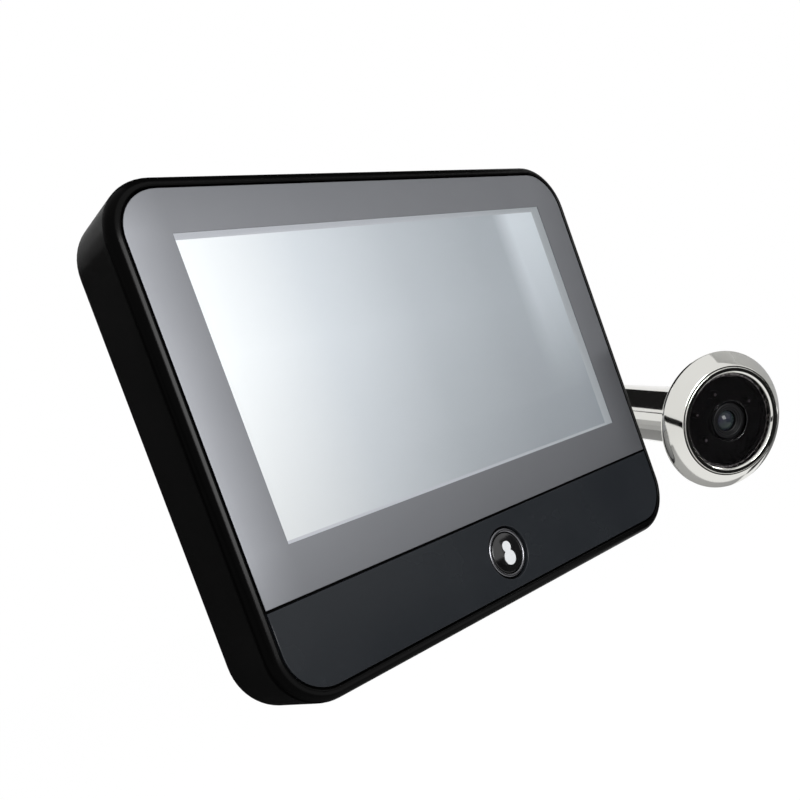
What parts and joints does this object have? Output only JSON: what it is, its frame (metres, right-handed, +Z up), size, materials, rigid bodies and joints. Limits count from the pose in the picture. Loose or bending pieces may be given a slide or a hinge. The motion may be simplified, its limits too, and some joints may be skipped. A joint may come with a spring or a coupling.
{
  "type": "digital door viewer",
  "caption": "Indoor door monitor with a wide screen and a round push button, on a hook bracket, with a chrome peephole camera on its barrel beside it.",
  "frame": {"origin": "on the door's inner face, at the middle of the bracket's hole", "axes": "+X to the right and +Z up as seen from indoors, +Y into the door; the monitor faces -Y"},
  "size_m": [0.1786, 0.0796, 0.0932],
  "materials": {
    "housing": "satin black moulded plastic",
    "smoked_glass": "polished smoked glass with a dark printed border",
    "fascia": "glossy dark plastic",
    "gloss_black": "polished black plastic",
    "pale_inlay": "matt white inlay",
    "screen_cell": "silvery screen cell behind a polarising film",
    "diffuser": "white diffuser",
    "inner_plastic": "matt black moulded plastic",
    "circuit_board": "green solder mask",
    "chip": "matt black moulded chip",
    "steel": "plain stamped steel",
    "bracket_steel": "black powder coat",
    "cell_wrap": "silver film wrap",
    "foam": "matt black foam",
    "chrome": "polished chrome plate",
    "lens": "coated lens",
    "lamp": "dark clear resin",
    "cream_plastic": "cream moulded plastic"
  },
  "bodies": {
    "door_bracket": {"bracket": "bracket_steel", "bracket_pads": "foam"},
    "monitor": {"front_shell": "housing", "screen_window": "smoked_glass", "lower_fascia": "fascia", "lcd_tray": "steel", "lcd_panel": "screen_cell", "backlight": "diffuser", "mid_frame": "inner_plastic", "main_board": "circuit_board", "processor_chip": "chip", "memory_chip": "chip", "shield_can": "steel", "ribbon_socket": "cream_plastic", "charge_socket": "steel", "power_base": "inner_plastic", "battery": "cell_wrap", "battery_pad": "foam", "speaker": "inner_plastic", "speaker_gasket": "foam", "microphone": "steel", "mic_boot": "foam", "switch_board": "circuit_board", "tact_switch": "steel", "button_ring": "chrome", "rear_cover": "housing", "case_screws": "steel", "board_screws": "steel"},
    "call_button": {"button_cap": "gloss_black", "button_icon": "pale_inlay", "switch_plunger": "inner_plastic"},
    "power_slider": {"power_knob": "inner_plastic"},
    "camera_unit": {"camera_flange": "chrome", "camera_barrel": "chrome", "flange_gasket": "foam", "window_trim": "chrome", "camera_window": "gloss_black", "lens_holder": "inner_plastic", "lens_barrel": "inner_plastic", "lens_glass": "lens", "ir_board": "circuit_board", "ir_lamps": "lamp", "light_sensor": "lamp", "sensor_board": "circuit_board", "image_sensor": "chip"},
    "washer": {"thrust_washer": "steel"},
    "sleeve": {"clamp_sleeve": "chrome"}
  },
  "joints": [
    {"name": "monitor_lift", "type": "slide", "parent": "door_bracket", "child": "monitor", "axis": [0, 0, 1], "range_m": [0, 0.0046]},
    {"name": "button_press", "type": "slide", "parent": "monitor", "child": "call_button", "axis": [0, 1, 0], "range_m": [0, 0.0006], "stiffness_N_per_m": 2500, "springref_m": -0.0003},
    {"name": "power_slide", "type": "slide", "parent": "monitor", "child": "power_slider", "axis": [0, 0, 1], "range_m": [0, 0.002]},
    {"name": "camera_reach", "type": "slide", "parent": "door_bracket", "child": "camera_unit", "axis": [-0.4536, -0.8641, -0.2181], "range_m": [0, 0.05]},
    {"name": "sleeve_travel", "type": "slide", "parent": "camera_unit", "child": "washer", "axis": [0.4536, 0.8641, 0.2181], "range_m": [-0.0105, 0.018]},
    {"name": "sleeve_turn", "type": "hinge", "parent": "washer", "child": "sleeve", "pos_m": [0.11104, 0.03401, -0.01202], "axis": [0.4536, 0.8641, 0.2181], "range_deg": [-3781, 6481]}
  ],
  "couplings": [
    {"joint": "sleeve_turn", "follows": "sleeve_travel", "rad_per_m": 6283.2}
  ]
}
